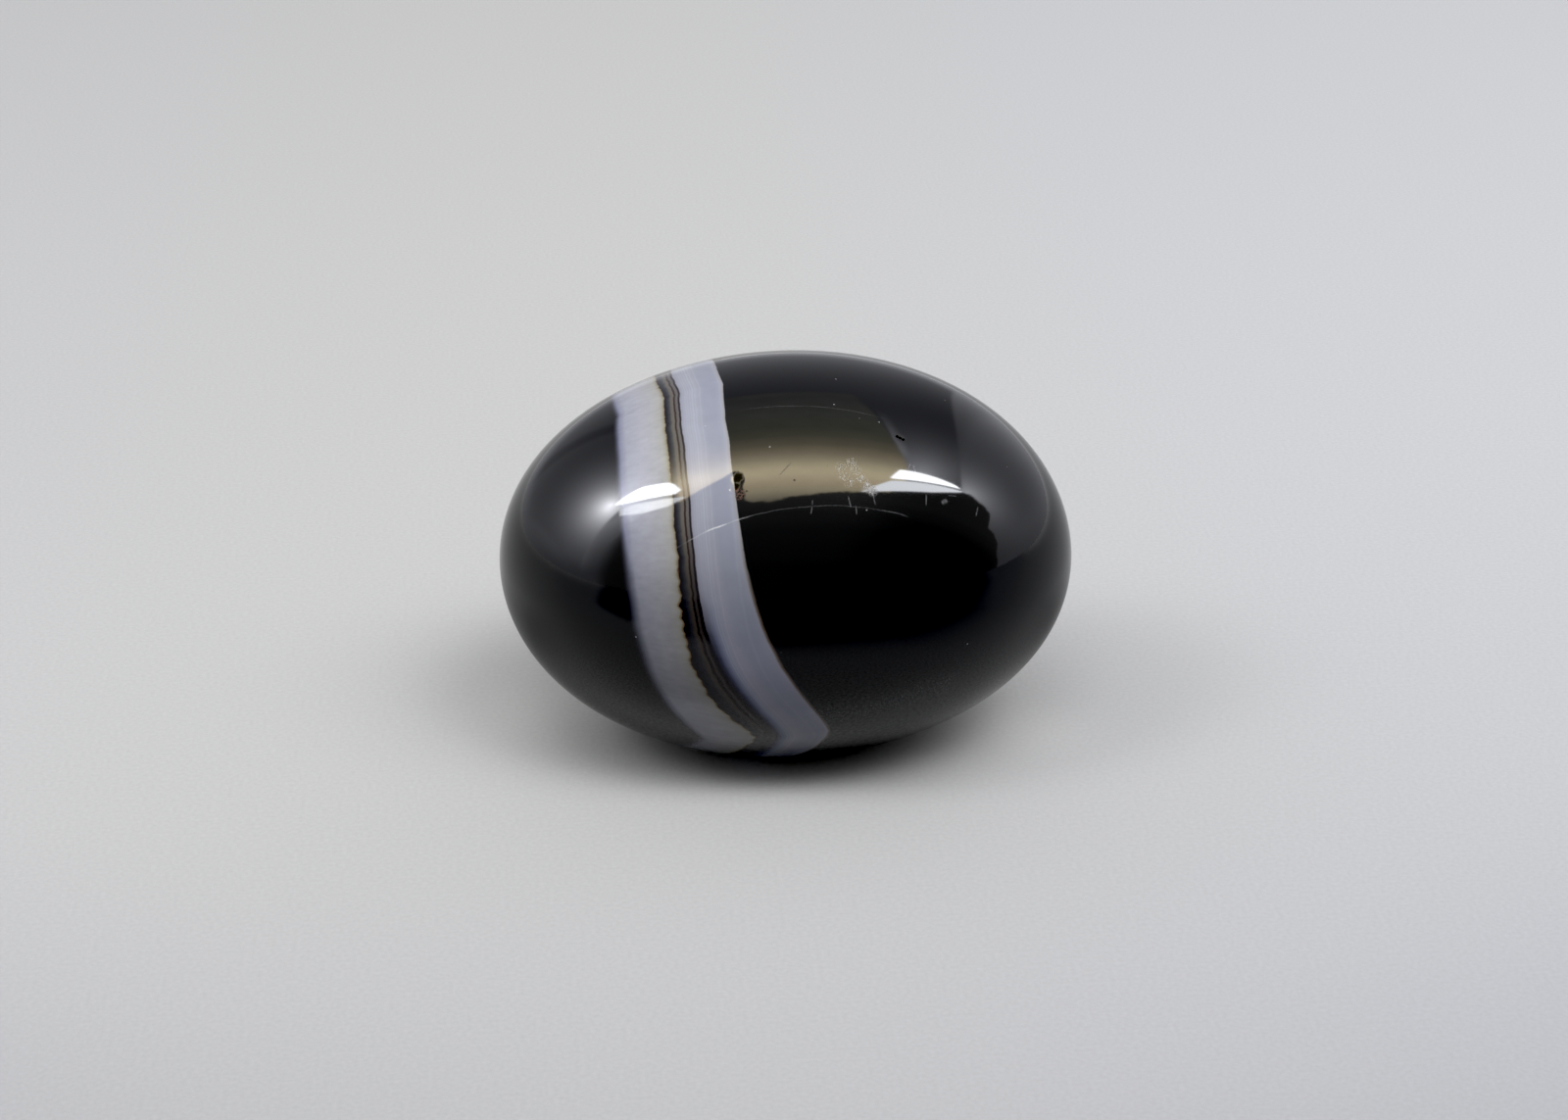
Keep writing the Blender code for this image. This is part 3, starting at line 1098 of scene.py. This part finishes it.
# The lamps' glow on them: middle, strength, reach, stretch
LEFT_GLOW_WIDE = ((-52.0, 6.0), 10.0, 9.0, 1.35)
LEFT_GLOW_CLOSE = ((-50.0, 8.0), 14.0, 4.0, 1.2)
RIGHT_GLOW = ((38.0, 11.0), 4.8, 8.5, 1.3)
CORNER_GLOW = ((54.0, 10.0), 5.0, 8.5)
# A straight edge is a point on it, the way to its lit side, and its softness
SIDE_PANEL = ((48.5, 27.5), 10.0, 1.5)
SIDE_PANEL_LIGHT = 0.28
WALL_SEAM_AT = -146.0  # round about
WALL_SEAM_EDGE = (1.0, 6.0)
WALL_SEAM_DARK = 0.20
# A thin lit rim right of the warm panel
RIM_LEFT = ((30.5, 22.0), 16.0, 1.0)
RIM_RIGHT = ((32.5, 22.0), 16.0, 3.0)
RIM_STARTS = (18.0, 24.0)
RIM_FADES = (26.0, 52.0)
RIM_LIGHT = 0.8
# A greyer panel under the left lamp, below this edge
LOW_PANEL_EDGE = (
    (-180, -180), (-95, -60), (-83, -31.5), (-77, -20.5), (-70, -12.5), (-62, -6.0), (-53, 0.2),
    (-47, 3.0),
)
LOW_PANEL_RIGHT = -46.0
LOW_PANEL_FROM = (-76.0, -74.0)  # round about
LOW_PANEL_LEAST = 0.45
LOW_PANEL_GLOW = 1.5  # added 10 degrees in front, and e times as much every 10 degrees back
LOW_PANEL_MOST = 3.4
PANEL_SOFT = 0.8
# Near the horizon the walls pass into the open floor
HORIZON = (-0.02, 0.16)
FLOOR_MIRRORED = 0.74  # how bright the open floor is in the polish

WARM_PANEL = [(-29, -16), (33, -16), (33.5, 14), (29, 28), (23, 45.5), (17, 60), (-29, 60)]
WARM_PANEL_SOFT = 2.5
# Its light by the degrees back, to be taken WARM_LIGHT times
WARM_TONES = (
    (-14.0, (0.20, 0.18, 0.15)),
    (-10.5, (0.32, 0.29, 0.23)),
    (-8.0, (0.46, 0.41, 0.31)),
    (-5.0, (0.60, 0.53, 0.38)),
    (-2.0, (0.71, 0.60, 0.42)),
    (1.0, (0.84, 0.71, 0.50)),
    (4.0, (0.94, 0.81, 0.565)),
    (7.0, (0.92, 0.80, 0.56)),
    (10.0, (0.755, 0.66, 0.46)),
    (13.0, (0.545, 0.485, 0.355)),
    (16.0, (0.41, 0.355, 0.27)),
    (19.0, (0.30, 0.27, 0.20)),
    (22.0, (0.22, 0.20, 0.16)),
    (28.0, (0.14, 0.138, 0.115)),
    (34.0, (0.112, 0.112, 0.10)),
    (43.0, (0.098, 0.101, 0.094)),
    (56.0, (0.070, 0.070, 0.070)),
)
WARM_LIGHT = (8.0, 8.0, 8.0)
WARM_UNEVEN = 0.22

# The dark opening lies in front of this line, which is lumpy right of the stone's own mirror image
OPENING_TOP = (
    (-56, -14), (-52, -13), (-49, -7), (-46, -4), (-34, -6.5), (-28, -4.5), (-25.9, -3.1),
    (-13.5, 6.0), (-12.0, 7.0), (-10.9, 7.8), (-10.3, -9.5), (-8, -11), (-3.3, -11.8), (3.1, -9),
    (16.2, -6.1), (23.7, -4.9), (35, -0.8), (42.7, 2.4), (50.6, 7.7), (52, 8.9), (55.5, 9.9),
    (60.5, 7.8), (64.9, 5.1), (65.8, -0.3), (66.2, -4.3), (70, -5.1), (73.3, -9.4),
    (74.4, -13.6), (78, -19.9), (79.5, -32), (81, -60), (82, -180),
)
OPENING_LUMPS = 3.6
LUMPS_FROM = (-12.5, -9.0)
# Its two ends, in degrees round about: a fixed one, and one by the degrees back
OPENING_LEFT = (-68.0, -60.0)
OPENING_RIGHT = ((-60, 68.0), (-40, 70.0), (-20, 76.0), (-10, 90.0), (0, 110.0), (10, 130.0))
OPENING_RIGHT_SOFT = 3.5
OPENING_TONE = (
    (-100, 0.47), (-50, 0.47), (-40, 0.49), (-30, 0.505), (-20, 0.545), (-12, 0.60), (-8, 0.63),
)
OPENING_ACROSS = ((-60, 1.0), (10, 1.0), (22, 0.96), (34, 0.86), (50, 0.81), (80, 0.79))

# The lamps, each a bright strip over a dimmer one with a thin dark line between: corners against
# the clock, and the light
LAMPS = (
    (
        [
            (-48.6, 6.2), (-41.4, 3.5), (-34.3, 1.9), (-29.0, 0.7), (-27.0, 2.4), (-28.5, 7.2),
            (-30.0, 8.8), (-37.6, 11.2), (-44.6, 9.2), (-48.6, 7.2),
        ],
        (24.0, 24.5, 25.0),
    ),
    (
        [
            (-48.8, -1.4), (-40.7, -5.2), (-32.4, -5.5), (-26.5, -2.8), (-26.6, -1.5),
            (-31.8, -0.3), (-39.4, 1.2), (-47.8, 3.4),
        ],
        (10.2, 10.4, 10.6),
    ),
    (
        [
            (28.8, 5.2), (30.3, 4.8), (35.4, 6.2), (41.4, 7.6), (47.5, 9.0), (52.0, 10.1),
            (49.2, 11.6), (42.5, 12.2), (35.8, 12.0), (31.2, 11.2),
        ],
        (24.0, 24.5, 25.5),
    ),
    (
        [
            (21.2, -5.2), (23.7, -4.7), (35.2, -0.7), (42.7, 2.5), (50.6, 7.8), (52.4, 9.7),
            (35.4, 5.5), (29.2, 3.6), (23.5, -2.4),
        ],
        (13.0, 13.4, 14.2),
    ),
)
LAMP_SOFT = 0.7


def tent_walls(w, across, back, place, up, round_about):
    """The walls with the lamps' glow, the side panel, a seam, a rim and the low left panel."""
    side_panel = side_mask(w, place, *SIDE_PANEL)
    walls = w.total(w.curve(across, WALLS), w.product(side_panel, SIDE_PANEL_LIGHT))
    left_glow = w.total(glow(w, place, *LEFT_GLOW_WIDE), glow(w, place, *LEFT_GLOW_CLOSE))
    corner_glow = w.product(side_panel, glow(w, place, *CORNER_GLOW))
    right_glow = w.product(w.rest(side_panel), glow(w, place, *RIGHT_GLOW))
    light = w.total(walls, left_glow, corner_glow, right_glow)
    seam = w.fall(w.work("ABSOLUTE", w.total(round_about, -WALL_SEAM_AT)), *WALL_SEAM_EDGE)
    light = w.product(light, w.rest(w.product(seam, WALL_SEAM_DARK)))
    rim = w.product(
        side_mask(w, place, *RIM_LEFT), w.rest(side_mask(w, place, *RIM_RIGHT)),
        w.rise(back, *RIM_STARTS), w.fall(back, *RIM_FADES),
    )
    light = w.total(light, w.product(rim, RIM_LIGHT))

    past_edge = w.work("SUBTRACT", back, w.curve(across, LOW_PANEL_EDGE))
    low_panel = w.product(
        w.fall(past_edge, -PANEL_SOFT, PANEL_SOFT),
        w.work("LESS_THAN", across, LOW_PANEL_RIGHT),
        w.rise(round_about, *LOW_PANEL_FROM),
    )
    tone = w.product(w.work("EXPONENT", w.product(w.total(back, 10.0), 0.1)), LOW_PANEL_GLOW)
    tone = w.work("MINIMUM", w.total(tone, LOW_PANEL_LEAST), LOW_PANEL_MOST)
    light = w.total(w.product(light, w.rest(low_panel)), w.product(tone, low_panel))
    low_down = w.fall(up, *HORIZON)
    light = w.total(w.product(light, w.rest(low_down)), w.product(low_down, FLOOR_MIRRORED))
    return w.times(WALL_TINT, w.grey(light))


def add_warm_panel(w, colour, back, place):
    """The warm panel overhead, brightest over the stone."""
    tone = w.times(w.ramp(back, WARM_TONES), WARM_LIGHT)
    uneven = w.product(w.noise(place, scale=0.16, detail=5.0, roughness=0.6), WARM_UNEVEN)
    tone = w.times(tone, w.grey(w.total(uneven, 1 - WARM_UNEVEN / 2)))
    return w.blend(panel_mask(w, place, WARM_PANEL, WARM_PANEL_SOFT), colour, tone)


def add_opening(w, colour, across, back, place, round_about):
    """The dark opening in front, lumpy along its top and its right end."""
    lump = w.product(w.unevenness(place, scale=0.30, detail=4.0, roughness=0.6), OPENING_LUMPS)
    lump = w.product(lump, w.rise(across, *LUMPS_FROM))
    top = w.curve(across, OPENING_TOP, straight=True)
    under = w.fall(w.work("SUBTRACT", w.total(back, lump), top), -PANEL_SOFT, PANEL_SOFT)
    past_right = w.work("SUBTRACT", round_about, w.curve(back, OPENING_RIGHT))
    before_right = w.fall(past_right, -OPENING_RIGHT_SOFT, OPENING_RIGHT_SOFT)
    under = w.product(under, w.rise(round_about, *OPENING_LEFT), before_right)
    dark = w.times(
        w.ramp(back, OPENING_TONE, smooth=True), w.grey(w.curve(across, OPENING_ACROSS))
    )
    return w.blend(under, colour, dark)


def mirrored_tent(w, across, back, place, up, round_about):
    """The tent as the polish mirrors it.

    round_about is the direction over the floor, in degrees: 0 towards the camera, 90 to the right.
    """
    colour = tent_walls(w, across, back, place, up, round_about)
    colour = add_warm_panel(w, colour, back, place)
    colour = add_opening(w, colour, across, back, place, round_about)
    for corners, light in LAMPS:
        colour = w.blend(panel_mask(w, place, corners, LAMP_SOFT), colour, light)
    return colour


def tent_angles(w, seen_from):
    """How far a direction leans right and back from the tent's middle, and both as one place.

    The direction is turned into the tent's own axes. Its angle from their Z, shared out in
    proportion to X and Y, gives the two angles in degrees.
    """
    turn = (Matrix.Rotation(-TENT_LEAN, 3, "X") @ Matrix.Rotation(TENT_TURN, 3, "Z")).to_euler()
    x, y, z = w.axes(w.stretched(seen_from, (1, 1, 1), turn))
    from_middle = w.work("DEGREES", w.work("ARCCOSINE", z))
    level = w.work("SQRT", w.total(w.product(x, x), w.product(y, y), 1e-9))
    size = w.work("DIVIDE", from_middle, level)
    across = w.product(x, size, TENT_WIDE)
    back = w.total(w.product(y, size), TENT_RAISE)
    place = w.node("ShaderNodeCombineXYZ")
    w.feed(place.inputs[0], across)
    w.feed(place.inputs[1], back)
    return across, back, place.outputs[0]


def make_tent():
    """The light tent: mirrored panels for the polish, soft lights for matt ground, plain behind."""
    world = bpy.data.worlds.new("light tent")
    world.use_nodes = True
    bpy.context.scene.world = world
    tree = world.node_tree
    tree.nodes.clear()
    w = Wiring(tree)
    seen_from = w.node("ShaderNodeTexCoord").outputs["Generated"]
    right, far, up = w.axes(seen_from)
    round_about = w.work("DEGREES", w.work("ARCTAN2", right, w.product(far, -1.0)))
    across, back, place = tent_angles(w, seen_from)

    mirrored = w.node("ShaderNodeBackground")
    w.feed(mirrored.inputs["Color"], mirrored_tent(w, across, back, place, up, round_about))

    strength = w.curve(back, MATT_BACK)
    for light in MATT_LIGHTS:
        strength = w.total(soft_light(w, place, *light), strength)
    matt = w.node("ShaderNodeBackground")
    matt.inputs["Color"].default_value = MATT_TINT
    w.feed(matt.inputs["Strength"], strength)

    plain = w.node("ShaderNodeBackground")
    plain.inputs["Color"].default_value = PLAIN_BACKGROUND

    ray = w.node("ShaderNodeLightPath").outputs
    for_stone = w.node("ShaderNodeMixShader")
    w.feed(for_stone.inputs[0], ray["Is Glossy Ray"])
    w.feed(for_stone.inputs[1], matt.outputs[0])
    w.feed(for_stone.inputs[2], mirrored.outputs[0])
    for_all = w.node("ShaderNodeMixShader")
    w.feed(for_all.inputs[0], ray["Is Camera Ray"])
    w.feed(for_all.inputs[1], for_stone.outputs[0])
    w.feed(for_all.inputs[2], plain.outputs[0])
    w.feed(w.node("ShaderNodeOutputWorld").inputs["Surface"], for_all.outputs[0])


# The photograph's view
LENS = 70.0
SENSOR = 36.0
CAMERA_DOWN = math.radians(24)  # how far the camera looks down
CAMERA_TURN = math.radians(4.61)  # it stands a little to the left of square on
CAMERA_AWAY = 159.5 * MM
CAMERA_SEES = (1 * MM, 4.0)  # from and to
AIM_RIGHT = -0.13 * MM  # where it aims, off the egg's middle
AIM_UP = -0.32 * MM
BLACK_POINT = 0.022  # light below this goes to black, as in the photograph


def make_camera(middle):
    ahead = Vector((
        math.sin(CAMERA_TURN) * math.cos(CAMERA_DOWN),
        math.cos(CAMERA_TURN) * math.cos(CAMERA_DOWN),
        -math.sin(CAMERA_DOWN),
    ))
    right = Vector((math.cos(CAMERA_TURN), -math.sin(CAMERA_TURN), 0))
    up = right.cross(ahead)
    data = bpy.data.cameras.new("camera")
    data.lens = LENS
    data.sensor_width = SENSOR
    data.clip_start, data.clip_end = CAMERA_SEES
    camera = bpy.data.objects.new("camera", data)
    camera.location = Vector(middle) + right * AIM_RIGHT + up * AIM_UP - ahead * CAMERA_AWAY
    camera.rotation_euler = ahead.to_track_quat("-Z", "Y").to_euler()
    bpy.context.scene.collection.objects.link(camera)
    bpy.context.scene.camera = camera


def set_tone():
    settings = bpy.context.scene.view_settings
    settings.view_transform = "Standard"
    settings.use_curve_mapping = True
    settings.curve_mapping.black_level = (BLACK_POINT,) * 3
    settings.curve_mapping.update()


stone, middle = make_stone()
stone.data.materials.append(stone_material(middle))
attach(stone, "root")
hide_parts("agate_stone")

make_floor()
make_tent()
make_camera(middle)
set_tone()
